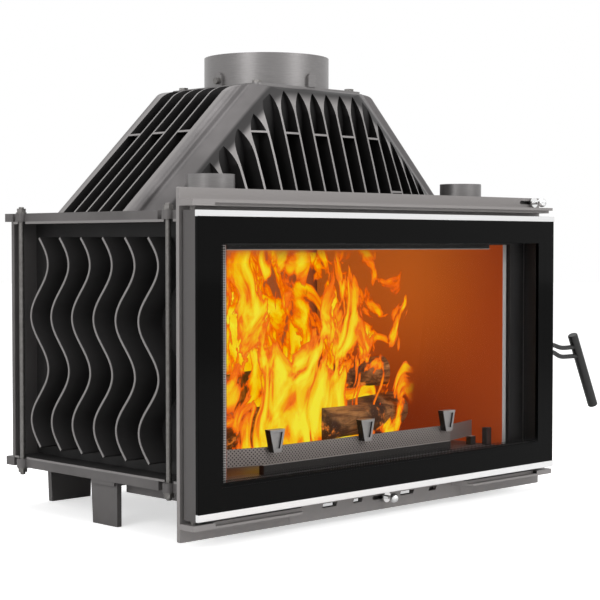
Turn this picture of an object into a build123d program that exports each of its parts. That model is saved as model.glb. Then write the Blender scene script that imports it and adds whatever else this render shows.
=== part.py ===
from build123d import *
import os
from math import asin, cos, pi, radians, sin, sqrt

os.makedirs("parts", exist_ok=True)

# Frame: X across the front, Y = 0 on the flue axis with the door at -Y, Z = 0 on the floor.

# Clearances between bodies that move against each other.
gap = 0.3
pin_clearance = 0.1

# Front plate and the firebox behind it.
plate_half_x = 389.0
plate_z0, plate_z1 = 9.0, 482.0
plate_y0, plate_y1 = -246.2, -240.0
door_half_x = plate_half_x - 4
window_half_x = door_half_x - 40
mouth_half_x = window_half_x - 33
mouth_z0, mouth_z1 = 78.0, 405.0

box_half_x = plate_half_x - 40.5
rim_height = 13.0
floor_z = 78.0
roof_z0 = 440.6
roof_z1 = roof_z0 + 12.4
plate_web = 5.0
plate_rear_y = 219.0
side_wall_x = box_half_x - 42
side_wall_t = 6.0
side_front_t = 3.6
rim_width = 13.5
back_y0, back_y1 = 196.0, 203.0

# Corner tie rods with their ears, nuts and the notches in the rims.
rod_r = 4.0
rod_y = 175.0
ear_r = 9.0
notch_width = 13.0
notch_depth = 13.0
nut_af = 13.0
nut_height = 5.6
washer_t = 1.7

# Waved ribs in the recess of each side.
rib_pitch = 52.0
rib_count = 6
rib_z0, rib_z1 = 99.5, 415.5
rib_t = 3.5
rib_edge_x = box_half_x - 0.5
rib_wave = 22.0
rib_period = 157.5

# Convector hood.
hood_z0 = roof_z1
hood_z1 = 646.0
hood_front_y0, hood_front_y1 = 172.0, 116.0
hood_side_x0 = box_half_x - 2.5
hood_spread = hood_side_x0 / 346
hood_side_x1 = 146 * hood_spread
fin_pitch = 30.0
front_groove = 26.5
arch_height = 38.0
groove_floor_y = 114.0
side_pitch = 29.0
side_groove = 25.5
side_floor_x0 = hood_side_x0 - 61
side_floor_x1, side_floor_z1 = hood_side_x1 - 21, hood_z1 - 26
side_groove_end = hood_side_x1 - 28
hollow_z = hood_z1 - 8
bar_z0, bar_t = 571.5, 3.0

# Flue and warm-air outlets.
collar_r = 99.0
collar_bore_r = collar_r - 7
smoke_r = collar_bore_r - 4
cover_t = 3.3
collar_z0 = hood_z1 + cover_t
collar_z1 = collar_z0 + 51.2
lug_z = collar_z0 + 22.7
duct_x, duct_y = box_half_x - 77.5, -175.2
duct_r, duct_bore_r = 33.75, 30.5
duct_z1 = 504.0

# Door.
door_z0, door_z1 = 40.0, 451.4
glass_y0, frame_y0, frame_y1 = -279.5, -273.8, -249.7
glass_z0, glass_z1 = 49.7, 443.0
window_z0, window_z1 = 82.0, 408.0
hinge_x, hinge_y = 8 - door_half_x, -259.5
hinge_r = 4.0

# Latch lever on the right-hand stile.
latch_x, latch_z = door_half_x - 13, 236.0
latch_r = 4.0
lever_y = -267.0
lever_rod_r = 3.75
lever_turn = 26.0
tail_length = 28.0
grip_r = 8.3
grip_top = (latch_x + 83, latch_z + 18)
grip_end = (latch_x + 143, latch_z - 105)
pocket_x0, pocket_x1 = latch_x - 10.3, door_half_x - 1.8
pocket_z0, pocket_z1 = latch_z - 21.5, latch_z + 41
pocket_y0 = -271.2

# Slides for the room air and the flue damper.
stem_r = 2.5
air_x, air_z = 10.0, 27.5
air_travel = 22.0
damper_x, damper_z = plate_half_x - 21, plate_z1 - 7.5
damper_travel = 27.5
slide_t = 2.5
flap_r, flap_t = smoke_r - 0.5, 3.0
flap_z = 560.0
spindle_end_y = 112.0


def block(x, y, z, mode=Mode.ADD):
    """A box from its limits along X, Y and Z."""
    with Locations(((x[0] + x[1]) / 2, (y[0] + y[1]) / 2, (z[0] + z[1]) / 2)):
        Box(x[1] - x[0], y[1] - y[0], z[1] - z[0], mode=mode)


def post(x, y, radius, z, mode=Mode.ADD):
    """A cylinder along Z."""
    with Locations((x, y, (z[0] + z[1]) / 2)):
        Cylinder(radius, z[1] - z[0], mode=mode)


def bar_y(x, z, radius, y, mode=Mode.ADD):
    """A cylinder along Y."""
    with Locations(Location((x, (y[0] + y[1]) / 2, z), (90, 0, 0))):
        Cylinder(radius, y[1] - y[0], mode=mode)


def rod_places():
    """The four tie rods, seen from above."""
    return [(x, y) for x in (-box_half_x, box_half_x) for y in (-rod_y, rod_y)]


def cast_plate_outline():
    """The outline shared by the firebox floor and roof: ears for the rods and a notch beside each."""
    with BuildSketch() as outline:
        with Locations((0, (plate_y1 + plate_rear_y) / 2)):
            Rectangle(2 * box_half_x, plate_rear_y - plate_y1)
        with Locations(*rod_places()):
            Circle(ear_r)
        for x, y in rod_places():
            side = 1 if x > 0 else -1
            with Locations((x - side * (notch_depth - ear_r) / 2, y + ear_r + 1 + notch_width / 2)):
                Rectangle(notch_depth + ear_r, notch_width, mode=Mode.SUBTRACT)
        with Locations(*rod_places()):
            Circle(rod_r + 0.5, mode=Mode.SUBTRACT)
    return outline.sketch


# Floor of the firebox: a cast plate with a deep rim and the ash opening.
with BuildPart() as bottom_plate:
    with BuildSketch(Plane.XY.offset(floor_z - rim_height)):
        add(cast_plate_outline())
    extrude(amount=rim_height)
    block(
        (rim_width - box_half_x, box_half_x - rim_width),
        (-228, 190),
        (floor_z - rim_height, floor_z - plate_web),
        Mode.SUBTRACT,
    )
    block((-110, 110), (-100, 40), (floor_z - rim_height, floor_z), Mode.SUBTRACT)
bottom_plate.part.label = "bottom_plate"
export_step(bottom_plate.part, "parts/bottom_plate.step")

# Roof of the firebox: the same plate with the smoke opening and two duct holes.
with BuildPart() as top_plate:
    with BuildSketch(Plane.XY.offset(roof_z0)):
        add(cast_plate_outline())
    extrude(amount=roof_z1 - roof_z0)
    roof_pocket_x = side_wall_x - 10.5
    block((-roof_pocket_x, roof_pocket_x), (-228, 190), (roof_z0, roof_z1 - plate_web), Mode.SUBTRACT)
    block((-220, 220), (-80, 80), (roof_z0, roof_z1), Mode.SUBTRACT)
    for duct_side in (-1, 1):
        post(duct_side * duct_x, duct_y, duct_bore_r - 1.5, (roof_z0, roof_z1), Mode.SUBTRACT)
top_plate.part.label = "top_plate"
export_step(top_plate.part, "parts/top_plate.step")


def rib_outline(centre_y):
    """One waved rib seen from the side, as offset points either side of its centre line."""
    near, far = [], []
    steps = 32
    for index in range(steps + 1):
        height = rib_z0 + (rib_z1 - rib_z0) * index / steps
        phase = 2 * pi * (rib_z1 - height) / rib_period
        slope = rib_wave * 2 * pi / rib_period * cos(phase)
        middle = centre_y - rib_wave * sin(phase)
        scale = rib_t / 2 / sqrt(1 + slope * slope)
        near.append((middle - scale, height + slope * scale))
        far.append((middle + scale, height - slope * scale))
    return near, far


def build_side_panel(side):
    """A recessed side wall with flanges and its waved ribs."""
    outer = side * box_half_x
    wall = side * side_wall_x
    inner = side * (side_wall_x - side_wall_t)
    with BuildPart() as panel:
        block(sorted((inner, wall)), (plate_y1, back_y0), (floor_z, roof_z0))
        for flange_z in ((floor_z, floor_z + 3), (roof_z0 - 3.6, roof_z0)):
            block(sorted((wall, outer)), (plate_y1, back_y0), flange_z)
        block(sorted((inner, outer)), (plate_y1, plate_y1 + side_front_t), (floor_z, roof_z0))
        with Locations(*[(x, y, (floor_z + roof_z0) / 2) for x, y in rod_places()]):
            Cylinder(ear_r + 1, roof_z0 - floor_z, mode=Mode.SUBTRACT)
        with BuildSketch(Plane.YZ.offset(wall)) as ribs:
            for index in range(rib_count):
                near, far = rib_outline((index - (rib_count - 1) / 2) * rib_pitch)
                with BuildLine():
                    left = Spline(*near)
                    right = Spline(*far)
                    Line(left @ 0, right @ 0)
                    Line(left @ 1, right @ 1)
                make_face()
        extrude(ribs.sketch, amount=side * (rib_edge_x - side_wall_x))
    return panel.part


side_panel_left = build_side_panel(-1)
side_panel_left.label = "side_panel_left"
export_step(side_panel_left, "parts/side_panel_left.step")

side_panel_right = build_side_panel(1)
side_panel_right.label = "side_panel_right"
export_step(side_panel_right, "parts/side_panel_right.step")

# Back wall between floor and roof.
with BuildPart() as back_panel:
    block((-box_half_x, box_half_x), (back_y0, back_y1), (floor_z, roof_z0))
    fillet(back_panel.edges().filter_by(Axis.Z), 2)
back_panel.part.label = "back_panel"
export_step(back_panel.part, "parts/back_panel.step")

# Tie rods that clamp roof to floor, with a nut and washer at each end.
nut_top_z = roof_z1 + washer_t
nut_low_z = floor_z - rim_height - washer_t
with BuildPart() as tie_rods:
    for x, y in rod_places():
        post(x, y, rod_r, (nut_low_z - nut_height - 4, nut_top_z + nut_height + 2.5))
    chamfer(tie_rods.edges().filter_by(GeomType.CIRCLE), 0.8)
tie_rods.part.label = "tie_rods"
export_step(tie_rods.part, "parts/tie_rods.step")

with BuildPart() as tie_rod_nuts:
    for x, y in rod_places():
        post(x, y, 8.0, (roof_z1, nut_top_z))
        post(x, y, 8.0, (nut_low_z, floor_z - rim_height))
        for nut_z in (nut_top_z, nut_low_z - nut_height):
            with BuildSketch(Plane.XY.offset(nut_z)) as hexagon:
                with Locations((x, y)):
                    RegularPolygon(nut_af / 2, 6, major_radius=False)
            extrude(hexagon.sketch, amount=nut_height)
        post(x, y, rod_r, (nut_low_z - 20, nut_top_z + 20), Mode.SUBTRACT)
tie_rod_nuts.part.label = "tie_rod_nuts"
export_step(tie_rod_nuts.part, "parts/tie_rod_nuts.step")

# Feet: flat cast legs, each with a bolting flange at its top.
foot_z = floor_z - rim_height
foot_x0 = box_half_x - 150.5
foot_x1 = foot_x0 + 75
side_foot_x = box_half_x - rim_width
foot_flange = 6.0
with BuildPart() as feet_rear:
    for side in (-1, 1):
        with BuildSketch(Plane.XZ.offset(-213.5)) as leg:
            with BuildLine():
                Polyline(
                    (side * foot_x0, 0),
                    (side * foot_x1, 0),
                    (side * (foot_x1 + 3), foot_z),
                    (side * (foot_x0 - 3), foot_z),
                    close=True,
                )
            make_face()
        extrude(leg.sketch, amount=9)
        block(sorted((side * foot_x0, side * foot_x1)), (192, 218), (foot_z - foot_flange, foot_z))
feet_rear.part.label = "feet_rear"
export_step(feet_rear.part, "parts/feet_rear.step")

with BuildPart() as feet_side:
    for side in (-1, 1):
        with BuildSketch(Plane.YZ.offset(side * side_foot_x)) as leg:
            with BuildLine():
                Polyline((-52, 0), (5.5, 0), (9.5, foot_z), (-52, foot_z), close=True)
            make_face()
        extrude(leg.sketch, amount=side * 8)
        flange_x = sorted((side * (side_foot_x - 13), side * (side_foot_x + 12)))
        block(flange_x, (-50, 4), (foot_z - foot_flange, foot_z))
feet_side.part.label = "feet_side"
export_step(feet_side.part, "parts/feet_side.step")

# Air tray under the front half of the floor; the front feet stand under it.
tray_z0 = 50.0
tray_half_x = box_half_x - 18.5
tray_rear_y = -57.0
tray_t = 2.0
with BuildPart() as air_tray:
    block((-tray_half_x, tray_half_x), (plate_y1, tray_rear_y), (tray_z0, floor_z - rim_height))
    for side in (-1, 1):
        block(
            sorted((side * (tray_half_x - tray_t), side * tray_half_x)),
            (-227, tray_rear_y),
            (floor_z - rim_height, floor_z - plate_web),
        )
    block((-tray_half_x, tray_half_x), (tray_rear_y - tray_t, tray_rear_y), (tray_z0, floor_z - plate_web))
    block(
        (tray_t - tray_half_x, tray_half_x - tray_t),
        (plate_y1, tray_rear_y - tray_t),
        (tray_z0 + tray_t, floor_z - rim_height),
        Mode.SUBTRACT,
    )
air_tray.part.label = "air_tray"
export_step(air_tray.part, "parts/air_tray.step")

with BuildPart() as feet_front:
    for side in (-1, 1):
        with BuildSketch(Plane.XZ.offset(150.5)) as leg:
            with BuildLine():
                Polyline(
                    (side * foot_x0, 0),
                    (side * foot_x1, 0),
                    (side * (foot_x1 + 3), tray_z0),
                    (side * (foot_x0 - 3), tray_z0),
                    close=True,
                )
            make_face()
        extrude(leg.sketch, amount=9)
        block(sorted((side * foot_x0, side * foot_x1)), (-168, -142), (tray_z0 - foot_flange, tray_z0))
feet_front.part.label = "feet_front"
export_step(feet_front.part, "parts/feet_front.step")

# Front plate around the mouth, with a window for the regulator plate and the damper slot.
regulator_half_x = 187.4
regulator_z1 = 62.0
damper_slot_x = (damper_x - damper_travel - stem_r - gap, damper_x + stem_r + gap)
air_slot_x = (air_x - air_travel - stem_r - gap, air_x + stem_r + gap)
slot_height = 2 * stem_r + 2 * gap
with BuildPart() as front_plate:
    block((-plate_half_x, plate_half_x), (plate_y0, plate_y1), (plate_z0, plate_z1))
    fillet(front_plate.edges().filter_by(Axis.Y), 2)
    block((-mouth_half_x, mouth_half_x), (plate_y0, plate_y1), (mouth_z0, mouth_z1), Mode.SUBTRACT)
    block(
        (-regulator_half_x - 0.6, regulator_half_x + 0.6),
        (plate_y0, plate_y1),
        (plate_z0 - 1, regulator_z1),
        Mode.SUBTRACT,
    )
    with BuildSketch(Plane.XZ.offset(-plate_y1)) as slot:
        with Locations(((damper_slot_x[0] + damper_slot_x[1]) / 2, damper_z)):
            SlotOverall(damper_slot_x[1] - damper_slot_x[0], slot_height)
    extrude(slot.sketch, amount=plate_y1 - plate_y0, mode=Mode.SUBTRACT)
front_plate.part.label = "front_plate"
export_step(front_plate.part, "parts/front_plate.step")

# Regulator plate, flush in the front plate, with slanted air slots and the knob's slot.
air_slots = ((-121.0, -92.0), (-57.0, -38.0), (46.0, 76.0), (112.0, 129.0))
air_slot_height = 6.0
slot_slant = 2.5
with BuildPart() as regulator_plate:
    block((-regulator_half_x, regulator_half_x), (plate_y0, plate_y1), (plate_z0, regulator_z1))
    with BuildSketch(Plane.XZ.offset(-plate_y1)) as slots:
        for left, right in air_slots:
            low, high = air_z + 0.5 - air_slot_height / 2, air_z + 0.5 + air_slot_height / 2
            with BuildLine():
                Polyline(
                    (left, low),
                    (right, low),
                    (right + slot_slant, high),
                    (left + slot_slant, high),
                    close=True,
                )
            make_face()
        with Locations(((air_slot_x[0] + air_slot_x[1]) / 2, air_z)):
            SlotOverall(air_slot_x[1] - air_slot_x[0], slot_height)
    extrude(slots.sketch, amount=plate_y1 - plate_y0, mode=Mode.SUBTRACT)
regulator_plate.part.label = "regulator_plate"
export_step(regulator_plate.part, "parts/regulator_plate.step")

# Ledges above and below the door; the left ends carry the hinge pins.
ledge_y0 = -273.7
ledge_web_y0 = -266.0
ledge_end = 39.0
top_ledge_z0, top_lip_z0, top_ledge_z1 = 457.0, 461.3, 465.7
low_ledge_z0, low_lip_z1, low_ledge_z1 = 27.3, 30.5, 35.0
with BuildPart() as top_ledge:
    block((-plate_half_x, plate_half_x), (ledge_y0, plate_y0), (top_lip_z0, top_ledge_z1))
    block((-plate_half_x, plate_half_x), (ledge_web_y0, plate_y0), (top_ledge_z0, top_lip_z0))
    block((-plate_half_x, ledge_end - plate_half_x), (ledge_y0, plate_y0), (top_ledge_z0, top_lip_z0))
    post(hinge_x, hinge_y, hinge_r, (top_ledge_z0, top_ledge_z1), Mode.SUBTRACT)
top_ledge.part.label = "top_ledge"
export_step(top_ledge.part, "parts/top_ledge.step")


def build_bottom_ledge(side):
    """One lower ledge: mitred inner end, thin lip in front, full height at the outer end."""
    with BuildPart() as ledge:
        with BuildSketch(Plane.XY.offset(low_ledge_z0)) as lip:
            with BuildLine():
                Polyline(
                    (side * plate_half_x, plate_y0),
                    (side * plate_half_x, ledge_y0),
                    (side * regulator_half_x, ledge_y0),
                    (side * (regulator_half_x - 22), plate_y0),
                    close=True,
                )
            make_face()
        extrude(lip.sketch, amount=low_ledge_z1 - low_ledge_z0)
        groove = sorted((side * (regulator_half_x - 30), side * (plate_half_x - ledge_end)))
        block(groove, (ledge_y0 - 1, ledge_web_y0), (low_lip_z1, low_ledge_z1), Mode.SUBTRACT)
        if side < 0:
            post(hinge_x, hinge_y, hinge_r, (low_ledge_z0, low_ledge_z1), Mode.SUBTRACT)
    return ledge.part


bottom_ledge_left = build_bottom_ledge(-1)
bottom_ledge_left.label = "bottom_ledge_left"
export_step(bottom_ledge_left, "parts/bottom_ledge_left.step")

bottom_ledge_right = build_bottom_ledge(1)
bottom_ledge_right.label = "bottom_ledge_right"
export_step(bottom_ledge_right, "parts/bottom_ledge_right.step")

with BuildPart() as hinge_pins:
    post(hinge_x, hinge_y, hinge_r, (door_z1 - 12, top_ledge_z1))
    post(hinge_x, hinge_y, hinge_r, (low_ledge_z0, door_z0 + 12))
hinge_pins.part.label = "hinge_pins"
export_step(hinge_pins.part, "parts/hinge_pins.step")

# Keeper on the front plate that the latch's tail turns behind.
with BuildPart() as latch_keeper:
    block((latch_x - 2, latch_x + 10), (-266, plate_y0), (latch_z + 31, latch_z + 39))
    block((latch_x + 1, latch_x + 10), (-266, -262), (latch_z + 20, latch_z + 31))
latch_keeper.part.label = "latch_keeper"
export_step(latch_keeper.part, "parts/latch_keeper.step")


def hood_quarter(share):
    """A quarter of the hood's outline at a share of its height, from the front centre to the side centre."""
    front_y = hood_front_y0 + (hood_front_y1 - hood_front_y0) * share
    side_x = hood_side_x0 + (hood_side_x1 - hood_side_x0) * share
    flat_x = (100 - 40 * share) * hood_spread
    sweep = 38.4 - 2.4 * share
    corner_r = (355 - 251 * share) * hood_spread
    valley_r = (14 - 4 * share) * hood_spread
    ridge_r = (12 - 2 * share) * hood_spread
    with BuildLine() as quarter:
        flat = Line((0, -front_y), (-flat_x, -front_y))
        corner = JernArc(start=flat @ 1, tangent=flat % 1, radius=corner_r, arc_size=-sweep)
        valley = JernArc(start=corner @ 1, tangent=corner % 1, radius=valley_r, arc_size=sweep)
        shelf_end = valley @ 1
        shelf = Line(shelf_end, (-side_x + ridge_r, shelf_end.Y))
        ridge = JernArc(start=shelf @ 1, tangent=shelf % 1, radius=ridge_r, arc_size=-90)
        Line(ridge @ 1, (-side_x, 0))
    return quarter.line


def arch_outline(centre, tip):
    """A pointed arch with upright sides, standing on the roof."""
    half = front_groove / 2
    spring = tip - arch_height
    radius = (half * half + arch_height * arch_height) / (2 * half)
    middle = asin(arch_height / radius) / 2
    bulge = radius - half - radius * cos(middle)
    rise = spring + radius * sin(middle)
    with BuildLine() as outline:
        Line((centre - half, hood_z0 - 1), (centre + half, hood_z0 - 1))
        Line((centre + half, hood_z0 - 1), (centre + half, spring))
        ThreePointArc((centre + half, spring), (centre - bulge, rise), (centre, tip))
        ThreePointArc((centre, tip), (centre + bulge, rise), (centre - half, spring))
        Line((centre - half, spring), (centre - half, hood_z0 - 1))
    return outline.line


# Convector hood: a ruled dome with rounded shoulders, arched grooves in front and deep ones at the sides.
outer_tips = {135: 600.0, 165: 576.5, 195: 552.0, 225: 532.5}
barred_grooves = (-135, -75, -15, 45, 105, 165)
with BuildPart() as convector_hood:
    for share in (0, 1):
        with BuildSketch(Plane.XY.offset(hood_z0 + share * (hood_z1 - hood_z0))):
            with BuildLine():
                add(hood_quarter(share))
                mirror(about=Plane.YZ)
                mirror(about=Plane.XZ)
            make_face()
    loft(ruled=True)

    with BuildSketch(Plane.YZ.offset(-360)) as front_shoulder:
        with BuildLine():
            Polyline(
                (-hood_front_y0 - 1, hood_z0),
                (-hood_front_y1 - 1, hood_z1),
                (hood_front_y1 + 1, hood_z1),
                (hood_front_y0 + 1, hood_z0),
                close=True,
            )
        make_face()
        fillet(front_shoulder.vertices().group_by(Axis.Y)[-1], 22)
    extrude(front_shoulder.sketch, amount=720, mode=Mode.INTERSECT)
    with BuildSketch(Plane.XZ.offset(-180)) as side_shoulder:
        with BuildLine():
            Polyline(
                (-hood_side_x0 - 1, hood_z0),
                (-hood_side_x1 - 1, hood_z1),
                (hood_side_x1 + 1, hood_z1),
                (hood_side_x0 + 1, hood_z0),
                close=True,
            )
        make_face()
        fillet(side_shoulder.vertices().group_by(Axis.Y)[-1], 60)
    extrude(side_shoulder.sketch, amount=360, mode=Mode.INTERSECT)

    with BuildSketch(Plane.XZ.offset(groove_floor_y)) as front_grooves:
        for index in range(16):
            centre = (index - 7.5) * fin_pitch
            with BuildLine():
                add(arch_outline(centre, outer_tips.get(abs(round(centre)), hollow_z)))
            make_face()
        for centre in barred_grooves:
            with Locations((centre, bar_z0 + bar_t / 2)):
                Rectangle(front_groove + 1, bar_t, mode=Mode.SUBTRACT)
        with Locations((135, 489)):
            Rectangle(front_groove + 1, bar_t, mode=Mode.SUBTRACT)
    extrude(front_grooves.sketch, amount=80, mode=Mode.SUBTRACT)

    for side in (-1, 1):
        for index in range(-2, 3):
            centre = index * side_pitch
            with BuildSketch(Plane.XZ.offset(-centre - side_groove / 2)) as side_cut:
                with BuildLine():
                    Polyline(
                        (side * (hood_side_x0 + 50), hood_z0 - 1),
                        (side * side_floor_x0, hood_z0 - 1),
                        (side * side_floor_x1, side_floor_z1),
                        (side * side_groove_end, side_floor_z1 + 10),
                        (side * side_groove_end, hood_z1 + 50),
                        (side * (hood_side_x0 + 50), hood_z1 + 50),
                        close=True,
                    )
                make_face()
                if index in (-2, 0, 2):
                    with Locations((side * side_floor_x0, bar_z0 + bar_t / 2)):
                        Rectangle(320, bar_t, mode=Mode.SUBTRACT)
            extrude(side_cut.sketch, amount=side_groove, mode=Mode.SUBTRACT)

    for half_y, base_x, neck_x, neck_z in (
        (88, side_floor_x0 - 9, side_groove_end, hollow_z - 21),
        (106, 200 * hood_spread, 60 * hood_spread, hollow_z - 10),
    ):
        with BuildSketch(Plane.XZ.offset(-half_y)) as hollow:
            with BuildLine():
                Polyline(
                    (-base_x, hood_z0),
                    (-neck_x, neck_z),
                    (-min(neck_x, 100), hollow_z),
                    (min(neck_x, 100), hollow_z),
                    (neck_x, neck_z),
                    (base_x, hood_z0),
                    close=True,
                )
            make_face()
        extrude(hollow.sketch, amount=2 * half_y, mode=Mode.SUBTRACT)
    post(0, 0, smoke_r, (hollow_z - 8, hood_z1 + 1), Mode.SUBTRACT)
    bar_y(0, flap_z, rod_r + pin_clearance, (-spindle_end_y - gap, spindle_end_y + gap), Mode.SUBTRACT)
convector_hood.part.label = "convector_hood"
export_step(convector_hood.part, "parts/convector_hood.step")

# Flat plate that closes the hood, and the flue collar on it.
with BuildPart() as cover_plate:
    block((-collar_r - 15, collar_r + 15), (-collar_r - 2, collar_r + 2), (hood_z1, collar_z0))
    fillet(cover_plate.edges().filter_by(Axis.Z), 8)
    post(0, 0, smoke_r, (hood_z1, collar_z0), Mode.SUBTRACT)
cover_plate.part.label = "cover_plate"
export_step(cover_plate.part, "parts/cover_plate.step")

with BuildPart() as cover_bolts:
    with BuildSketch(Plane.XY.offset(collar_z0)):
        with GridLocations(2 * collar_r + 2, 2 * collar_r - 26, 2, 2):
            RegularPolygon(nut_af / 2, 6, major_radius=False)
    extrude(amount=4.7)
cover_bolts.part.label = "cover_bolts"
export_step(cover_bolts.part, "parts/cover_bolts.step")

lug_width = 17.0
lug_out = 5.0
collar_bolt_r = 5.0
with BuildPart() as flue_collar:
    post(0, 0, collar_r, (collar_z0, collar_z1))
    lug_root = collar_bore_r - 2
    lug_reach = collar_r + lug_out - lug_root
    with PolarLocations(0, 4):
        with Locations((lug_root + lug_reach / 2, 0, (collar_z0 + lug_z - lug_width / 2) / 2)):
            Box(lug_reach, lug_width, lug_z - lug_width / 2 - collar_z0)
        with Locations(Location((lug_root + lug_reach / 2, 0, lug_z - lug_width / 2), (0, 90, 0))):
            Cylinder(lug_width / 2, lug_reach)
    post(0, 0, collar_bore_r, (collar_z0, collar_z1), Mode.SUBTRACT)
flue_collar.part.label = "flue_collar"
export_step(flue_collar.part, "parts/flue_collar.step")

with BuildPart() as collar_bolts:
    for side in (-1, 1):
        with Locations(Location((side * (collar_r + lug_out + 2.5), 0, lug_z - 13), (0, 90, 0))):
            Cylinder(collar_bolt_r, 5)
collar_bolts.part.label = "collar_bolts"
export_step(collar_bolts.part, "parts/collar_bolts.step")


def build_duct_collar(side):
    """A short warm-air collar standing on the roof."""
    with BuildPart() as collar:
        post(side * duct_x, duct_y, duct_r, (roof_z1, duct_z1))
        post(side * duct_x, duct_y, duct_bore_r, (roof_z1, duct_z1), Mode.SUBTRACT)
    return collar.part


duct_collar_left = build_duct_collar(-1)
duct_collar_left.label = "duct_collar_left"
export_step(duct_collar_left, "parts/duct_collar_left.step")

duct_collar_right = build_duct_collar(1)
duct_collar_right.label = "duct_collar_right"
export_step(duct_collar_right, "parts/duct_collar_right.step")

# Inside the firebox: the lip that washes the glass with air, the lining, the baffle and the grate.
with BuildPart() as air_deflector:
    lip_x = (side_wall_t + 0.5 - side_wall_x, side_wall_x - 31.5)
    lip_z = mouth_z1 - 7
    block(lip_x, (-233, -230), (lip_z, roof_z0))
    block(lip_x, (-233, -216), (lip_z, lip_z + 3))
    block(lip_x, (plate_y1, -233), (roof_z0 - 10, roof_z0))
air_deflector.part.label = "air_deflector"
export_step(air_deflector.part, "parts/air_deflector.step")

lining_half_x = side_wall_x - 16.5
lining_y0 = 176.0
with BuildPart() as back_lining:
    block((-lining_half_x, lining_half_x), (lining_y0, back_y0), (floor_z, 430))
    chamfer(back_lining.edges().filter_by(Axis.X).group_by(Axis.Y)[0], 3)
back_lining.part.label = "back_lining"
export_step(back_lining.part, "parts/back_lining.step")

baffle_z = 400.0
with BuildPart() as baffle:
    block((side_wall_t - side_wall_x, side_wall_x - side_wall_t), (-70, lining_y0), (baffle_z, baffle_z + 6))
baffle.part.label = "baffle"
export_step(baffle.part, "parts/baffle.step")

with BuildPart() as grate:
    block((-118, 118), (-108, 48), (floor_z, floor_z + 8))
    with GridLocations(18, 0, 12, 1):
        with Locations((0, -30, floor_z + 4)):
            Box(8, 128, 8, mode=Mode.SUBTRACT)
grate.part.label = "grate"
export_step(grate.part, "parts/grate.step")

with BuildPart() as guard_posts:
    for side in (-1, 1):
        lining_x = sorted((side * (side_wall_x - 17.5), side * (side_wall_x - side_wall_t)))
        block(lining_x, (-218, -208), (floor_z, 106))
guard_posts.part.label = "guard_posts"
export_step(guard_posts.part, "parts/guard_posts.step")

# Log guard that lifts out: a band with back-swept wings, a foot rail and three wedge brackets.
guard_y = -211.0
guard_t = 2.5
guard_end_x = side_wall_x - 22.5
guard_flat_x = 203.0
with BuildPart() as log_guard:
    with BuildSketch(Plane.XY.offset(92)) as band:
        with BuildLine():
            Polyline(
                (-guard_end_x, -190),
                (-guard_flat_x, guard_y - guard_t / 2),
                (guard_flat_x, guard_y - guard_t / 2),
                (guard_end_x, -190),
                (guard_end_x, -190 + guard_t),
                (guard_flat_x, guard_y + guard_t / 2),
                (-guard_flat_x, guard_y + guard_t / 2),
                (-guard_end_x, -190 + guard_t),
                close=True,
            )
        make_face()
    extrude(band.sketch, amount=25.5)
log_guard.part.label = "log_guard"
export_step(log_guard.part, "parts/log_guard.step")

with BuildPart() as guard_rail:
    block((-208, 200), (guard_y - 5, guard_y + 5), (floor_z + gap, 92))
    for side in (-1, 1):
        block(sorted((side * (guard_end_x - 14), side * (guard_end_x - 2))), (-200, -190), (floor_z + gap, 92))
guard_rail.part.label = "guard_rail"
export_step(guard_rail.part, "parts/guard_rail.step")

with BuildPart() as guard_brackets:
    for centre in (-188, 0, 188):
        with BuildSketch(Plane.XZ.offset(-guard_y + guard_t / 2)) as wedge:
            with BuildLine():
                Polyline(
                    (centre - 7.25, 110),
                    (centre + 7.25, 110),
                    (centre + 14.75, 142.5),
                    (centre - 14.75, 142.5),
                    close=True,
                )
            make_face()
        extrude(wedge.sketch, amount=11)
        with BuildSketch(Plane.XZ.offset(-guard_y + guard_t / 2 + 8)) as recess:
            with BuildLine():
                Polyline(
                    (centre - 4.5, 115),
                    (centre + 4.5, 115),
                    (centre + 10, 138.5),
                    (centre - 10, 138.5),
                    close=True,
                )
            make_face()
        extrude(recess.sketch, amount=4, mode=Mode.SUBTRACT)
guard_brackets.part.label = "guard_brackets"
export_step(guard_brackets.part, "parts/guard_brackets.step")

# Door: cast frame with hinge bores, rope channel, and the latch's pocket in the right-hand stile.
rope_x, rope_z0, rope_z1 = window_half_x + 11, window_z0 - 17, window_z1 + 18
rope_width = 7.0
channel_y0 = -253.7
bridge_x0, bridge_z0, bridge_z1 = latch_x - 14, latch_z - 13, latch_z + 13
bridge_y0 = -252.2
slot_z1 = latch_z + 10.5


def rope_ring(y):
    """The rope's rectangular ring between two Y planes."""
    with BuildSketch(Plane.XZ.offset(-y[1])) as ring:
        with Locations((0, (rope_z0 + rope_z1) / 2)):
            RectangleRounded(2 * rope_x, rope_z1 - rope_z0, 14)
            RectangleRounded(
                2 * (rope_x - rope_width),
                rope_z1 - rope_z0 - 2 * rope_width,
                14 - rope_width,
                mode=Mode.SUBTRACT,
            )
    return extrude(ring.sketch, amount=y[1] - y[0], mode=Mode.PRIVATE)


with BuildPart() as door_frame:
    block((-door_half_x, door_half_x), (frame_y0, frame_y1), (door_z0, door_z1))
    block((-window_half_x, window_half_x), (frame_y0, frame_y1), (window_z0, window_z1), Mode.SUBTRACT)
    add(rope_ring((channel_y0, frame_y1)), mode=Mode.SUBTRACT)
    post(hinge_x, hinge_y, hinge_r + pin_clearance, (door_z1 - 13, door_z1), Mode.SUBTRACT)
    post(hinge_x, hinge_y, hinge_r + pin_clearance, (door_z0, door_z0 + 13), Mode.SUBTRACT)
    block((pocket_x0, pocket_x1), (pocket_y0, frame_y1), (pocket_z0, pocket_z1), Mode.SUBTRACT)
    block((pocket_x1, door_half_x), (pocket_y0, lever_y + 4.3), (pocket_z0, slot_z1), Mode.SUBTRACT)
    block((bridge_x0, door_half_x), (bridge_y0, frame_y1), (bridge_z0, bridge_z1), Mode.SUBTRACT)
door_frame.part.label = "door_frame"
export_step(door_frame.part, "parts/door_frame.step")

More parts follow.
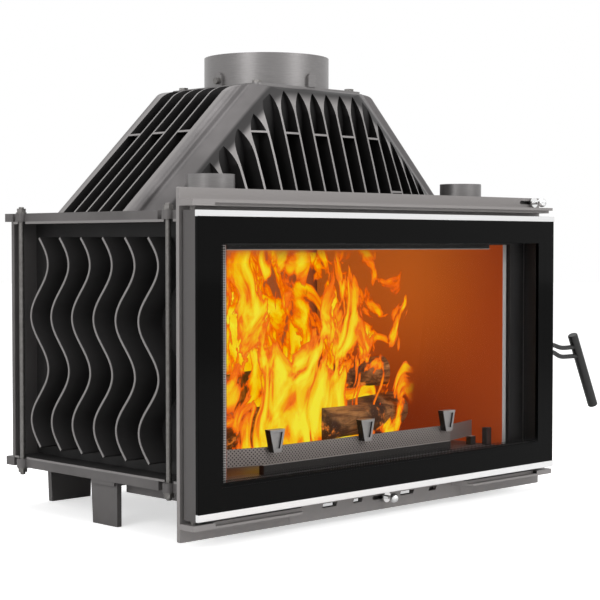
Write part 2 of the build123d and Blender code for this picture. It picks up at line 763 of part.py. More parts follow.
with BuildPart() as door_rope:
    add(rope_ring((channel_y0, plate_y0 - gap)))
door_rope.part.label = "door_rope"
export_step(door_rope.part, "parts/door_rope.step")

with BuildPart() as door_glass:
    block((-door_half_x, door_half_x), (glass_y0, frame_y0), (glass_z0, glass_z1))
    fillet(door_glass.edges().filter_by(Axis.Z).group_by(Axis.Y)[0], 1.2)
door_glass.part.label = "door_glass"
export_step(door_glass.part, "parts/door_glass.step")

trim_y0 = glass_y0 - 0.8
with BuildPart() as trim_top:
    block((-door_half_x, door_half_x), (trim_y0, frame_y0), (glass_z1, door_z1))
    fillet(trim_top.edges().filter_by(Axis.X).group_by(Axis.Y)[0], 1)
trim_top.part.label = "trim_top"
export_step(trim_top.part, "parts/trim_top.step")

with BuildPart() as trim_bottom:
    block((-door_half_x, door_half_x), (trim_y0, frame_y0), (door_z0, glass_z0))
    fillet(trim_bottom.edges().filter_by(Axis.X).group_by(Axis.Y)[0], 1)
trim_bottom.part.label = "trim_bottom"
export_step(trim_bottom.part, "parts/trim_bottom.step")

with BuildPart() as latch_pin:
    bar_y(latch_x, latch_z, latch_r, (pocket_y0, frame_y1))
latch_pin.part.label = "latch_pin"
export_step(latch_pin.part, "parts/latch_pin.step")

with BuildPart() as latch_bridge:
    block((bridge_x0, door_half_x), (bridge_y0, frame_y1), (bridge_z0, bridge_z1))
    bar_y(latch_x, latch_z, latch_r, (bridge_y0, frame_y1), Mode.SUBTRACT)
latch_bridge.part.label = "latch_bridge"
export_step(latch_bridge.part, "parts/latch_bridge.step")


def grip_cylinder(radius):
    """The grip's cylinder, standing along its own tilted line."""
    line = Line((grip_top[0], lever_y, grip_top[1]), (grip_end[0], lever_y, grip_end[1]), mode=Mode.PRIVATE)
    plane = Plane(origin=line @ 0.5, z_dir=line % 0.5)
    solid = Cylinder(radius, line.length, mode=Mode.PRIVATE)
    return plane.location * solid


# Latch lever: a hub on the pin, two bent rods to the grip and the tail behind the keeper.
upper_rod = ((0, 4), (13, 4), (30.7, 2.6), (47.6, -1.8), (68.8, -3.1), (94, -3.2))
lower_rod = ((0, -6.8), (13, -7.5), (30.8, -9.8), (45.8, -15.9), (63.6, -18.1), (101, -19.4))
hub_r = 9.0
tail_width = 7.0
with BuildPart() as latch_lever:
    bar_y(latch_x, latch_z, hub_r, (pocket_y0 + 0.4, bridge_y0 - 0.5))
    for points in (upper_rod, lower_rod):
        with BuildLine() as path:
            Spline(*[(latch_x + x, lever_y, latch_z + z) for x, z in points])
        with BuildSketch(Plane(origin=path.line @ 0, z_dir=path.line % 0)) as section:
            Circle(lever_rod_r)
        sweep(section.sketch, path.line)
    tail_rest = radians(lever_turn / 2)
    with Locations(
        Location(
            (latch_x - sin(tail_rest) * tail_length / 2, -258.2, latch_z + cos(tail_rest) * tail_length / 2),
            (0, -lever_turn / 2, 0),
        )
    ):
        Box(tail_width, 6.4, tail_length)
    add(grip_cylinder(grip_r), mode=Mode.SUBTRACT)
    bar_y(latch_x, latch_z, latch_r + pin_clearance, (pocket_y0, bridge_y0), Mode.SUBTRACT)
latch_lever.part.label = "latch_lever"
export_step(latch_lever.part, "parts/latch_lever.step")

with BuildPart() as grip_bar:
    add(grip_cylinder(grip_r))
    chamfer(grip_bar.edges().filter_by(GeomType.CIRCLE), 1.2)
grip_bar.part.label = "grip_bar"
export_step(grip_bar.part, "parts/grip_bar.step")


def rails(x, z, lap):
    """Two facing angle rails behind the front plate that a slide runs between."""
    back = plate_y1 + slide_t + 2 * gap
    block(x, (plate_y1, back), (z[0] - 5, z[0] - gap))
    block(x, (back, back + 1.5), (z[0] - 5, z[0] + lap))
    block(x, (plate_y1, back), (z[1] + gap, z[1] + 3.7))
    block(x, (back, back + 1.5), (z[1] - lap, z[1] + 3.7))


# Room-air slide behind the regulator plate.
air_slide_z = (18.0, 38.0)
slide_y = (plate_y1 + gap, plate_y1 + gap + slide_t)
knob_y = -250.0
with BuildPart() as air_rails:
    rails((-172, 172), air_slide_z, 3)
air_rails.part.label = "air_rails"
export_step(air_rails.part, "parts/air_rails.step")

with BuildPart() as air_slider:
    block((-145, 150), slide_y, air_slide_z)
    with BuildSketch(Plane.XZ.offset(-slide_y[1])) as windows:
        for left, right in air_slots:
            with Locations(((left + right + slot_slant) / 2, air_z + 0.5)):
                Rectangle(right - left, air_slot_height)
    extrude(windows.sketch, amount=slide_t, mode=Mode.SUBTRACT)
    bar_y(air_x, air_z, stem_r, (knob_y, slide_y[0]))
air_slider.part.label = "air_slider"
export_step(air_slider.part, "parts/air_slider.step")


def ball_knob(x, z, ball_r, ball_y):
    """A collar disc, a neck and a ball."""
    bar_y(x, z, 8, (knob_y - 3, knob_y))
    bar_y(x, z, 3, (ball_y, knob_y - 3))
    with Locations((x, ball_y, z)):
        Sphere(ball_r)


with BuildPart() as air_knob:
    ball_knob(air_x, air_z, 7.0, -266.5)
air_knob.part.label = "air_knob"
export_step(air_knob.part, "parts/air_knob.step")

# Damper slide at the top right, and the flap it turns in the smoke path.
damper_slide_z = (damper_z - 3.5, damper_z + 3.5)
with BuildPart() as damper_rails:
    rails((damper_x - 106, damper_x + 17), damper_slide_z, 2.2)
damper_rails.part.label = "damper_rails"
export_step(damper_rails.part, "parts/damper_rails.step")

with BuildPart() as damper_slider:
    block((damper_x - 68, damper_x + 12), slide_y, damper_slide_z)
    bar_y(damper_x, damper_z, stem_r, (knob_y, slide_y[0]))
damper_slider.part.label = "damper_slider"
export_step(damper_slider.part, "parts/damper_slider.step")

with BuildPart() as damper_knob:
    ball_knob(damper_x, damper_z, 7.5, -267.5)
damper_knob.part.label = "damper_knob"
export_step(damper_knob.part, "parts/damper_knob.step")

with BuildPart() as flap_spindle:
    bar_y(0, flap_z, rod_r, (-spindle_end_y, spindle_end_y))
flap_spindle.part.label = "flap_spindle"
export_step(flap_spindle.part, "parts/flap_spindle.step")

with BuildPart() as damper_flap:
    with Locations(Location((0, 0, flap_z), (0, 90, 0))):
        Cylinder(flap_r, flap_t)
    bar_y(0, flap_z, rod_r + 2, (-60, 60))
    bar_y(0, flap_z, rod_r, (-flap_r - 1, flap_r + 1), Mode.SUBTRACT)
damper_flap.part.label = "damper_flap"
export_step(damper_flap.part, "parts/damper_flap.step")
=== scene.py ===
from math import pi, radians, sin

import bmesh
import bpy
from mathutils import Matrix, Vector, noise


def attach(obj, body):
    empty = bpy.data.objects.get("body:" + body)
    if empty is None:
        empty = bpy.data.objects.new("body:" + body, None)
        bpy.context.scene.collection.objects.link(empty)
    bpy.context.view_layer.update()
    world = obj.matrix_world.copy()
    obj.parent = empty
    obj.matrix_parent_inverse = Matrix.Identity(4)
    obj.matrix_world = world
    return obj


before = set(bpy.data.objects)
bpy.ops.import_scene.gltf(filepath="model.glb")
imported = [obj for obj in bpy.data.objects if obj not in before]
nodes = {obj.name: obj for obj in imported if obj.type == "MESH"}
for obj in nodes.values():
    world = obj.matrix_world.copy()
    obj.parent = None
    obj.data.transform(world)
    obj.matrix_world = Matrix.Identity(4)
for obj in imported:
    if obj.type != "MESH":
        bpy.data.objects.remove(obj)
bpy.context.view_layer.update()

scene = bpy.context.scene


# Cast body: floor, roof, back, feet and what hangs on them, sand-cast in grey iron and brushed
# with graphite. The skin is finely grained; broad soft patches come from the mould.
class Wire:
    """A shader socket that takes part in sums."""

    def __init__(self, finish, socket):
        self.finish = finish
        self.socket = socket

    def math(self, operation, *others):
        values = [other.socket if isinstance(other, Wire) else other for other in others]
        return self.finish.node("Math", {"operation": operation}, values)

    def __add__(self, other):
        return self.math("ADD", self, other)

    def __radd__(self, other):
        return self.math("ADD", other, self)

    def __sub__(self, other):
        return self.math("SUBTRACT", self, other)

    def __rsub__(self, other):
        return self.math("SUBTRACT", other, self)

    def __mul__(self, other):
        return self.math("MULTIPLY", self, other)

    def __rmul__(self, other):
        return self.math("MULTIPLY", other, self)

    def __truediv__(self, other):
        return self.math("DIVIDE", self, other)

    def size(self):
        return self.math("ABSOLUTE", self)

    def part_of(self, step):
        return self.math("FRACT", self / step)

    def rise(self, low, high):
        """0 below low, 1 above high and smooth between."""
        return self.finish.node(
            "MapRange",
            {"interpolation_type": "SMOOTHSTEP"},
            {"Value": self.socket, "From Min": low, "From Max": high},
        )


class Finish:
    """A material with a principled shader."""

    def __init__(self, name, colour, roughness, metallic=0.0, **plain):
        self.material = bpy.data.materials.new(name)
        self.material.use_nodes = True
        self.tree = self.material.node_tree
        self.shader = self.tree.nodes["Principled BSDF"]
        self.feed("Base Color", (*colour, 1))
        self.feed("Roughness", roughness)
        self.feed("Metallic", metallic)
        for name, value in plain.items():
            self.feed(name.replace("_", " "), value)
        places = self.tree.nodes.new("ShaderNodeTexCoord")
        self.place = places.outputs["Object"]
        self.facing = places.outputs["Normal"]

    def node(self, kind, settings=None, values=(), output=0):
        node = self.tree.nodes.new("ShaderNode" + kind)
        for key, value in (settings or {}).items():
            setattr(node, key, value)
        pairs = values.items() if isinstance(values, dict) else enumerate(values)
        for key, value in pairs:
            value = value.socket if isinstance(value, Wire) else value
            if isinstance(value, bpy.types.NodeSocket):
                self.tree.links.new(value, node.inputs[key])
            else:
                node.inputs[key].default_value = value
        return Wire(self, node.outputs[output])

    def feed(self, name, value):
        if isinstance(value, Wire):
            self.tree.links.new(value.socket, self.shader.inputs[name])
        else:
            self.shader.inputs[name].default_value = value

    def axes(self, source=None):
        split = self.node("SeparateXYZ", None, [source or self.place])
        return [Wire(self, output) for output in split.socket.node.outputs]

    def grain(self, scale, detail=4.0, roughness=0.6, distortion=0.0, stretch=(1, 1, 1)):
        at = self.node("Mapping", None, {"Vector": self.place, "Scale": stretch})
        return self.node(
            "TexNoise",
            None,
            {
                "Vector": at,
                "Scale": scale,
                "Detail": detail,
                "Roughness": roughness,
                "Distortion": distortion,
            },
        )

    def blend(self, share, low, high):
        low = (*low, 1) if isinstance(low, tuple) else low
        high = (*high, 1) if isinstance(high, tuple) else high
        return self.node("Mix", {"data_type": "RGBA"}, {0: share, 6: low, 7: high}, output=2)

    def bump(self, height, strength, distance):
        values = {"Height": height, "Strength": strength, "Distance": distance}
        self.feed("Normal", self.node("Bump", None, values))


def sand_cast(name, colour, roughness=0.5, metallic=0.45):
    finish = Finish(name, colour, roughness, metallic)
    sand = finish.grain(900, 2, 0.7)
    finish.feed("Roughness", roughness + 0.12 * sand)
    finish.bump(sand, 0.22, 0.0006)
    return finish


def dress(finish, *names):
    for name in names:
        piece = nodes[name]
        piece.data.materials.clear()
        piece.data.materials.append(finish.material)


iron_dark, iron_light = (0.1, 0.094, 0.093), (0.155, 0.146, 0.144)
iron = sand_cast("graphite_cast_iron", iron_dark)
patches = iron.grain(9, 3).rise(0.3, 0.7) * 0.6 + iron.grain(900, 2, 0.7) * 0.4
iron.feed("Base Color", iron.blend(patches, iron_dark, iron_light))
dress(iron, "bottom_plate", "top_plate", "back_panel", "feet_rear", "feet_side", "feet_front")
dress(iron, "air_tray", "baffle", "grate")

# Front plate and ledges: the same iron, ground flat and lighter, so it shows a pale satin face.
# Behind the door, and on the walls of the mouth, it is black: partly soot, partly painted shade.
ground_face, near_black = (0.27, 0.255, 0.25), (0.008, 0.007, 0.007)
ground_metal = 0.5
faced_iron = sand_cast("ground_front_iron", ground_face, 0.42, ground_metal)
plate_x, _, plate_z = faced_iron.axes()
mouth_wall = 1 - (plate_x * faced_iron.axes(faced_iron.facing)[0]).rise(-0.25, -0.2)
door_width = 1 - plate_x.size().rise(0.346, 0.348)
door_height = plate_z.rise(0.06, 0.07) * (1 - plate_z.rise(0.42, 0.43))
# Black behind the door and on the mouth walls: soot together with painted shade.
soot_and_painted_shade = mouth_wall.math("MAXIMUM", mouth_wall, door_width * door_height)
faced_iron.feed("Metallic", ground_metal * (1 - soot_and_painted_shade))
faced_iron.feed("Base Color", faced_iron.blend(soot_and_painted_shade, ground_face, near_black))
dress(faced_iron, "front_plate", "regulator_plate", "top_ledge")
dress(faced_iron, "bottom_ledge_left", "bottom_ledge_right")

# Side panels: the recess is dark with painted shade, and the ribs' outer edges carry a painted
# highlight.
# Towards the fire the wall carries painted orange firelight and glows with it as painted light,
# redder low down and by the door.
# The edge beside the mouth is pale.
recess_dark, recess_light = (0.02, 0.019, 0.019), (0.04, 0.038, 0.038)
rib_iron = Finish("ribbed_side_iron", recess_dark, 0.55, 0.4)
wall_inside, wall_outside, rib_edge, wall_front = 0.301, 0.306, 0.3478, -0.24
rib_x, rib_y, rib_z = rib_iron.axes()
across = rib_x.size()
# Painted shade: the recess darkens the deeper it lies.
depth = across.rise(wall_outside, 0.345)
recess_painted_shade = rib_iron.blend(depth, recess_dark, recess_light)
# Painted highlight along the ribs' outer edges.
painted_edge_highlight = across.rise(rib_edge - 0.0013, rib_edge)
outer = rib_iron.blend(painted_edge_highlight, recess_painted_shade, (0.24, 0.228, 0.224))
front_face = 1 - rib_y.rise(wall_front + 0.0001, wall_front + 0.0003)
mouth_edge = front_face * (1 - across.rise(0.3095, 0.31))
outer = rib_iron.blend(mouth_edge, outer, (0.5, 0.485, 0.475))
# Painted firelight on the wall's fire side, fed to both base colour and emission.
fireside = 1 - across.rise(wall_inside - 0.0002, wall_inside + 0.0002)
painted_fireglow = rib_iron.blend(rib_z.rise(0.1, 0.36), (0.2, 0.026, 0.005), (0.41, 0.1, 0.012))
painted_fireglow = rib_iron.blend(rib_y.rise(-0.26, -0.02), (0.23, 0.035, 0.006), painted_fireglow)
rib_iron.feed("Base Color", rib_iron.blend(fireside, outer, painted_fireglow))
rib_iron.feed("Emission Color", rib_iron.blend(fireside, (0.0, 0.0, 0.0), painted_fireglow))
rib_iron.feed("Emission Strength", 0.8)
rib_iron.bump(rib_iron.grain(900, 2, 0.7), 0.2, 0.0006)
dress(rib_iron, "side_panel_left", "side_panel_right")

# Convector hood: one casting. Groove walls stand upright, so they face level and stay dark.
# The fins' outer edges catch the light as a painted highlight, the corners are smoother and darker,
# and the crease that runs down beside each side pack of fins is darkest, as painted shade.
shadow = (0.012, 0.011, 0.011)
hood_iron = Finish("hood_iron", shadow, 0.52, 0.5)
hood_x, hood_y, hood_z = hood_iron.axes()
from_side, from_front = hood_x.size(), hood_y.size()
_, faces_front, faces_up = hood_iron.axes(hood_iron.facing)
pack_edge, rim_edge = 0.0745, 0.1115
outside = faces_up.size().rise(0.06, 0.2)
inside_rim = 1 - from_front.rise(rim_edge, rim_edge + 0.001)
rim = from_front.rise(pack_edge - 0.001, pack_edge) * inside_rim
outside = outside.math("MAXIMUM", outside, rim)
above_groove_floor = (from_side + hood_z * 0.96).rise(0.745, 0.77)
beyond_pack = from_front.rise(0.073, 0.076)
lit = outside * above_groove_floor.math("MAXIMUM", above_groove_floor, beyond_pack)
patches = hood_iron.grain(9, 3).rise(0.3, 0.7)
corner = hood_iron.blend(patches, (0.1, 0.094, 0.094), (0.15, 0.141, 0.141))
# Painted shade along the crease beside each side pack of fins.
crease_painted_shade = from_front.rise(0.108, 0.112) * (1 - from_front.rise(0.115, 0.15))
corner = hood_iron.blend(crease_painted_shade * 0.9, corner, shadow)
# Painted highlight on the fins' outer faces.
side_fins = 1 - from_front.rise(pack_edge, 0.09)
front_fins = faces_front.size().rise(0.68, 0.84) * from_front.rise(0.118, 0.124)
fins = side_fins.math("MAXIMUM", side_fins, front_fins)
skin = hood_iron.blend(fins, corner, (0.23, 0.218, 0.215))
hood_iron.feed("Base Color", hood_iron.blend(lit, shadow, skin))
hood_iron.bump(hood_iron.grain(900, 2, 0.7), 0.22, 0.0006)
dress(hood_iron, "convector_hood")

# Flue and warm-air collars: turned on a lathe, so fine rings run round them.
turned_dark, turned_light = (0.15, 0.144, 0.144), (0.27, 0.26, 0.257)
turned = Finish("turned_collar_iron", turned_dark, 0.34, 0.75)
rings = turned.grain(60, 5, 0.75, 0.0, (1, 1, 14))
turned.feed("Base Color", turned.blend(rings, turned_dark, turned_light))
turned.feed("Roughness", 0.28 + 0.16 * rings)
turned.bump(rings, 0.12, 0.0005)
dress(turned, "flue_collar", "duct_collar_left", "duct_collar_right", "cover_plate")

# Tie rods, nuts, bolts and hinge pins: dull zinc steel.
zinc_dark, zinc_light = (0.1, 0.095, 0.09), (0.26, 0.25, 0.24)
zinc = Finish("dull_zinc_steel", zinc_dark, 0.42, 0.85)
zinc.feed("Base Color", zinc.blend(zinc.grain(160, 3), zinc_dark, zinc_light))
dress(zinc, "tie_rods", "tie_rod_nuts", "cover_bolts", "collar_bolts", "hinge_pins", "latch_pin")

# Slides, rails, keeper, latch bridge and guard posts: sheet steel in heatproof paint.
sheet_steel = Finish("heatproof_sheet_steel", (0.06, 0.056, 0.054), 0.55, 0.4)
sheet_steel.bump(sheet_steel.grain(500, 2), 0.1, 0.0004)
dress(sheet_steel, "air_slider", "damper_slider", "air_rails", "damper_rails", "latch_bridge")
dress(sheet_steel, "latch_keeper", "guard_posts")

# Air lip behind the top of the glass: black with painted shade, and a thin pale line of painted
# firelight along its lower edge.
lip_painted_shade, lip_painted_glow = (0.008, 0.007, 0.006), (0.5, 0.47, 0.44)
lip_steel = Finish("air_lip_steel", lip_painted_shade, 0.5, 0.3)
# Painted glow line along the lip's lower edge.
painted_glow_edge = 1 - lip_steel.axes()[2].rise(0.3985, 0.4)
lip_steel.feed("Base Color", lip_steel.blend(painted_glow_edge, lip_painted_shade, lip_painted_glow))
dress(lip_steel, "air_deflector")

# Door frame and rope: dark iron frame with a braided glass rope pressed in its channel.
# Its inner sides, that face the window, are black.
door_iron = sand_cast("door_frame_iron", iron_dark, 0.55, 0.35)
inner_side = 1 - (door_iron.axes()[0] * door_iron.axes(door_iron.facing)[0]).rise(-0.25, -0.2)
door_iron.feed("Base Color", door_iron.blend(inner_side, iron_dark, (0.006, 0.005, 0.005)))
dress(door_iron, "door_frame")
rope = Finish("braided_glass_rope", (0.05, 0.047, 0.042), 0.95)
rope.bump(rope.grain(420, 2, 0.5), 0.7, 0.0012)
dress(rope, "door_rope")

# Door glass: one clear ceramic pane over the whole door. A black band is fired on round the window,
# and it fades into dots along its left and lower inner edges.
window_left, window_right = -0.3465, 0.3445
window_low, window_high = 0.081, 0.4075
dot_pitch, fade = 0.0034, 0.016
glass = Finish("fire_glass_with_fired_border", (0.003, 0.003, 0.003), 0.06, 0.0)
glass_x, _, glass_z = glass.axes()
from_left = glass_x - window_left
from_low = glass_z - window_low
nearest = from_left.math("MINIMUM", from_left, from_low)
right_gap = window_right - glass_x
top_gap = window_high - glass_z
inside = nearest.math("MINIMUM", nearest, right_gap.math("MINIMUM", right_gap, top_gap))
dot_x = glass_x.part_of(dot_pitch) - 0.5
dot_z = glass_z.part_of(dot_pitch) - 0.5
dot_reach = dot_x * dot_x + dot_z * dot_z
dot_reach = dot_reach.math("SQRT", dot_reach)
dot_size = 0.62 * (1 - nearest / fade)
dots = dot_reach.math("LESS_THAN", dot_reach, dot_size)
border = inside.math("LESS_THAN", inside, 0.0)
printed = border.math("MAXIMUM", border, dots)
clear_pane = 0.07
glass.feed("Alpha", clear_pane + (1 - clear_pane) * printed)
glass.feed("IOR", 1.45)
glass.feed("Specular IOR Level", 0.06)
dress(glass, "door_glass")

# Bright trims and knobs: polished and chromed steel.
chrome = Finish("chromed_steel", (0.86, 0.86, 0.86), 0.16, 1.0)
dress(chrome, "trim_top", "trim_bottom", "air_knob", "damper_knob")

# Latch lever and grip: bent rod and a turned bar, stove-enamelled satin black.
black = Finish("satin_black_enamel", (0.005, 0.005, 0.005), 0.45, 0.0, Coat_Weight=0.06)
black.bump(black.grain(300, 2), 0.05, 0.0003)
dress(black, "latch_lever", "grip_bar")

# Fireboard lining at the back: pressed vermiculite, with painted orange firelight that glows as
# painted light and darkens to black towards the right end.
board = Finish("pressed_fireboard", near_black, 0.85)
board_x = board.axes()[0]
# Painted firelight: orange tone from the fire in front of the board, also fed to emission.
painted_firelight = board.blend(board.grain(7, 4), (0.66, 0.27, 0.1), (0.5, 0.17, 0.055))
painted_firelight_tone = board.blend(board_x.rise(-0.22, 0.3), painted_firelight, (0.27, 0.07, 0.02))
painted_firelight_tone = board.blend(board_x.rise(0.27, 0.3), painted_firelight_tone, near_black)
board.feed("Base Color", painted_firelight_tone)
board.feed("Emission Color", painted_firelight_tone)
board.feed("Emission Strength", 0.75)
board.bump(board.grain(120, 5), 0.3, 0.002)
dress(board, "back_lining")

# Damper flap and its spindle: plain dark steel in the smoke path.
smoked = Finish("smoked_steel", (0.03, 0.028, 0.026), 0.7, 0.3)
smoked.bump(smoked.grain(200, 4), 0.2, 0.001)
dress(smoked, "damper_flap", "flap_spindle")

# Log guard: a perforated steel band with three wedge brackets, lifted out for cleaning.
# The brackets' left sides are in painted shadow, and the foot rail is dark with a painted highlight
# on its top.
mesh_pitch = 0.0058
row_height = mesh_pitch / 2
band, hole = (0.34, 0.3, 0.28), (0.02, 0.016, 0.014)
guard_steel = Finish("perforated_guard_steel", band, 0.5, 0.6)
guard_x, _, guard_z = guard_steel.axes()
row = guard_z / row_height
shift = row.math("FLOOR", row).part_of(2.0)
hole_x = (guard_x / mesh_pitch + shift).part_of(1.0) - 0.5
hole_z = guard_z.part_of(row_height) - 0.5
hole_reach = hole_x * hole_x + hole_z * hole_z * 0.25
punched = 1 - hole_reach.rise(0.02, 0.05)
guard_steel.feed("Base Color", guard_steel.blend(punched, band, hole))
guard_steel.bump(punched, -0.5, 0.001)
dress(guard_steel, "log_guard")
bracket_face = (0.38, 0.365, 0.355)
bracket_steel = Finish("bracket_steel", bracket_face, 0.35, 0.4)
shaded = 1 - bracket_steel.axes(bracket_steel.facing)[0].rise(-0.9, -0.4)
shaded_face = bracket_steel.blend(shaded, bracket_face, (0.03, 0.028, 0.027))
bracket_steel.feed("Base Color", shaded_face)
dress(bracket_steel, "guard_brackets")
rail_dark, rail_painted_highlight = (0.05, 0.046, 0.044), (0.5, 0.47, 0.45)
rail_steel = Finish("rail_steel", rail_dark, 0.4, 0.4)
# Painted highlight on the rail's upward faces.
upward = rail_steel.axes(rail_steel.facing)[2].rise(0.3, 0.7)
rail_steel.feed("Base Color", rail_steel.blend(upward, rail_dark, rail_painted_highlight))
dress(rail_steel, "guard_rail")


# Logs: split beech on the grate, charred where the fire bites and pale on the fresh faces.
def keep(mesh, name, finish, body):
    """Turns a bmesh into a piece at the origin that rides on a body."""
    data = bpy.data.meshes.new(name)
    bmesh.ops.recalc_face_normals(mesh, faces=mesh.faces)
    mesh.to_mesh(data)
    mesh.free()
    piece = bpy.data.objects.new(name, data)
    scene.collection.objects.link(piece)
    data.materials.append(finish.material)
    for face in data.polygons:
        face.use_smooth = True
    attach(piece, body)


charcoal = (0.012, 0.009, 0.008)
wood = Finish("burning_beech", charcoal, 0.8)
fibres = wood.grain(26, 6, 0.7, 0.6, (0.35, 4, 4))
char = wood.grain(11, 4, 0.6).rise(0.42, 0.6)
timber = wood.blend(fibres.rise(0.35, 0.65), (0.1, 0.035, 0.012), (0.55, 0.27, 0.09))
wood.feed("Base Color", wood.blend(char, timber, charcoal))
ember = wood.grain(38, 5, 0.7).rise(0.56, 0.68) * char
wood.feed("Emission Color", wood.blend(ember, (0.05, 0.016, 0.004), (1.0, 0.26, 0.03)))
wood.feed("Emission Strength", 0.9)
wood.bump(fibres, 0.6, 0.004)

log_sizes = (
    ((-0.235, -0.075, 0.124), (0.03, -0.055, 0.13), 0.036, 3),
    ((-0.215, 0.02, 0.122), (0.23, 0.03, 0.128), 0.038, 5),
    ((0.02, -0.09, 0.126), (0.25, -0.045, 0.132), 0.035, 7),
    ((-0.2, -0.045, 0.172), (0.07, 0.045, 0.19), 0.034, 9),
    ((0.06, 0.02, 0.18), (0.22, -0.05, 0.2), 0.032, 11),
)
taper, bark_swell, split_face = 0.94, 0.22, 0.78
for index, (start, end, radius, seed) in enumerate(log_sizes):
    start, end = Vector(start), Vector(end)
    along = end - start
    mesh = bmesh.new()
    bmesh.ops.create_cone(
        mesh, cap_ends=True, segments=20, radius1=radius, radius2=radius * taper, depth=along.length
    )
    bark_edges = []
    for edge in mesh.edges:
        if abs(edge.verts[0].co.z - edge.verts[1].co.z) > radius / 2:
            bark_edges.append(edge)
    bmesh.ops.subdivide_edges(mesh, edges=bark_edges, cuts=24)
    for vertex in mesh.verts:
        swell = noise.noise(Vector((vertex.co.x * 18, vertex.co.y * 18, vertex.co.z * 7 + seed)))
        split = split_face if vertex.co.x > radius * 0.45 else 1.0
        vertex.co.x *= split * (1 + bark_swell * swell)
        vertex.co.y *= 1 + bark_swell * swell
    turn = along.to_track_quat("Z", "X").to_matrix().to_4x4()
    bmesh.ops.transform(mesh, matrix=Matrix.Translation((start + end) / 2) @ turn, verts=mesh.verts)
    keep(mesh, f"log_{index}", wood, "stove")

# Fire: thin glowing sheets that stand one behind another between the logs.
# Each is torn into tongues that thin out upwards, yellow at heart and orange to red at the edges.
fire_low, fire_height = 0.095, 0.31
fire_middle, fire_half_width, sheet_width = -0.015, 0.268, 0.54
flame = Finish("flame", (0.0, 0.0, 0.0), 1.0)
flame_x, flame_y, flame_z = flame.axes()
rise = (flame_z - fire_low) / fire_height
sway = flame.grain(7, 2, 0.5)
wobble = flame_x + (sway - 0.5) * 0.1
spot = flame.node("CombineXYZ", None, [wobble, flame_y * 2.3, flame_z * 0.42])
tongues = flame.node(
    "TexNoise",
    None,
    {"Vector": spot, "Scale": 17.0, "Detail": 5.0, "Roughness": 0.55, "Distortion": 1.3},
)
spread = (flame_x - fire_middle).size() / fire_half_width
thinning = 0.14 * rise + 0.16 * spread * spread
body = tongues - (0.36 + thinning)
glowing = body.rise(0.0, 0.03)
heat = body / 0.2
hot = flame.node("ValToRGB", None, [heat.math("MAXIMUM", heat, 0.0)])
ramp = hot.socket.node.color_ramp
ramp.elements[0].color = (0.8, 0.06, 0.0, 1)
ramp.elements[1].color = (1.0, 0.85, 0.03, 1)
for position, colour in ((0.25, (1.0, 0.19, 0.0, 1)), (0.55, (1.0, 0.56, 0.0, 1))):
    ramp.elements.new(position).color = colour
flame.feed("Emission Color", hot)
flame.feed("Emission Strength", 1.0)
fade_out = 1 - rise.rise(0.9, 1.0)
flame.feed("Alpha", glowing * fade_out * (1 - spread.rise(0.88, 1.0)))

sheet_places = ((-0.115, 0.98), (-0.06, 1.0), (-0.005, 0.96), (0.055, 1.0), (0.11, 0.9))
for index, (depth_y, share) in enumerate(sheet_places):
    mesh = bmesh.new()
    bmesh.ops.create_grid(mesh, x_segments=12, y_segments=12, size=0.5)
    bmesh.ops.scale(mesh, vec=(sheet_width, fire_height * share, 1), verts=mesh.verts)
    bmesh.ops.rotate(mesh, matrix=Matrix.Rotation(pi / 2, 3, "X"), verts=mesh.verts)
    middle = (fire_middle, depth_y, fire_low + fire_height * share / 2)
    bmesh.ops.translate(mesh, vec=middle, verts=mesh.verts)
    for vertex in mesh.verts:
        vertex.co.y += 0.018 * sin(9 * vertex.co.x + index) + 0.01 * sin(14 * vertex.co.z + index)
    keep(mesh, f"flame_{index}", flame, "stove")

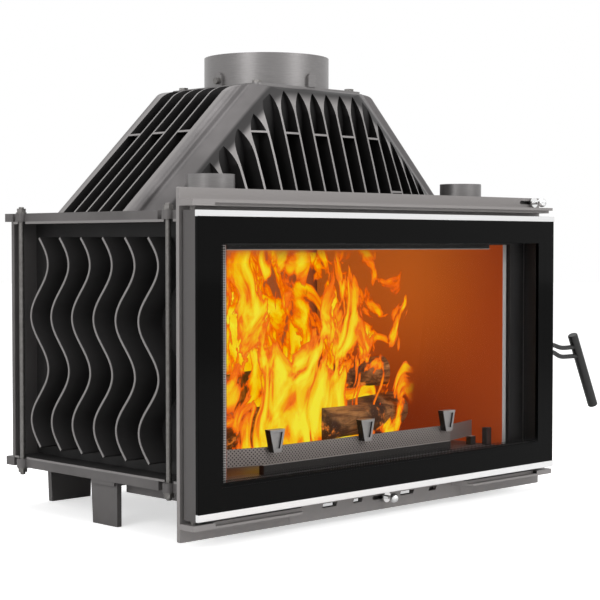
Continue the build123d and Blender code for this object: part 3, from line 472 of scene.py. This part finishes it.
# Floor and light: a pale floor, an even sky and soft lamps at a plain level.
# The sky is white to the camera, in mirrors and through glass, and dimmer as a lamp.
floor_mesh = bmesh.new()
bmesh.ops.create_grid(floor_mesh, x_segments=1, y_segments=1, size=12)
floor_data = bpy.data.meshes.new("floor")
floor_mesh.to_mesh(floor_data)
floor_mesh.free()
floor = bpy.data.objects.new("floor", floor_data)
scene.collection.objects.link(floor)
pale = Finish("pale_floor", (0.82, 0.82, 0.82), 0.9)
seen = pale.node("LightPath")
pale.feed("Emission Color", pale.blend(seen, (0.0, 0.0, 0.0), (0.6, 0.6, 0.6)))
pale.feed("Emission Strength", 1.0)
floor_data.materials.append(pale.material)

scene.view_settings.view_transform = "Standard"
world = bpy.data.worlds.new("even_sky")
scene.world = world
world.use_nodes = True
sky = world.node_tree
path = sky.nodes.new("ShaderNodeLightPath")
plain = sky.nodes["Background"]
plain.inputs["Color"].default_value = (1, 1, 1, 1)
plain.inputs["Strength"].default_value = 0.55
bright = sky.nodes.new("ShaderNodeBackground")
bright.inputs["Color"].default_value = (1, 1, 1, 1)
bright.inputs["Strength"].default_value = 1.0
white_to = path.outputs["Is Camera Ray"]
for kind in ("Is Glossy Ray", "Is Transmission Ray"):
    either = sky.nodes.new("ShaderNodeMath")
    either.operation = "MAXIMUM"
    sky.links.new(white_to, either.inputs[0])
    sky.links.new(path.outputs[kind], either.inputs[1])
    white_to = either.outputs[0]
join = sky.nodes.new("ShaderNodeMixShader")
sky.links.new(white_to, join.inputs[0])
sky.links.new(plain.outputs[0], join.inputs[1])
sky.links.new(bright.outputs[0], join.inputs[2])
sky.links.new(join.outputs[0], sky.nodes["World Output"].inputs["Surface"])

aim = Vector((0, 0, 0.35))
lamps = (
    ("front_lamp", (0.6, -2.6, 1.9), 1.6, 38),
    ("left_lamp", (-2.6, -0.6, 1.7), 1.4, 26),
    ("top_lamp", (0.1, 0.2, 2.6), 1.5, 30),
)
for name, place, size, power in lamps:
    light = bpy.data.lights.new(name, "AREA")
    light.shape = "DISK"
    light.size = size
    light.energy = power
    lamp = bpy.data.objects.new(name, light)
    scene.collection.objects.link(lamp)
    lamp.location = place
    lamp.rotation_euler = (aim - Vector(place)).to_track_quat("-Z", "Y").to_euler()

# Camera: where the photograph was taken from, low at the front left with a long lens.
camera_data = bpy.data.cameras.new("camera")
camera_data.lens = 95.47
camera_data.sensor_width = 36
camera = bpy.data.objects.new("camera", camera_data)
scene.collection.objects.link(camera)
camera.location = (-1.7428, -1.8594, 0.4057)
camera.rotation_euler = (radians(90 - 1.996), 0, radians(-44.346))
scene.camera = camera
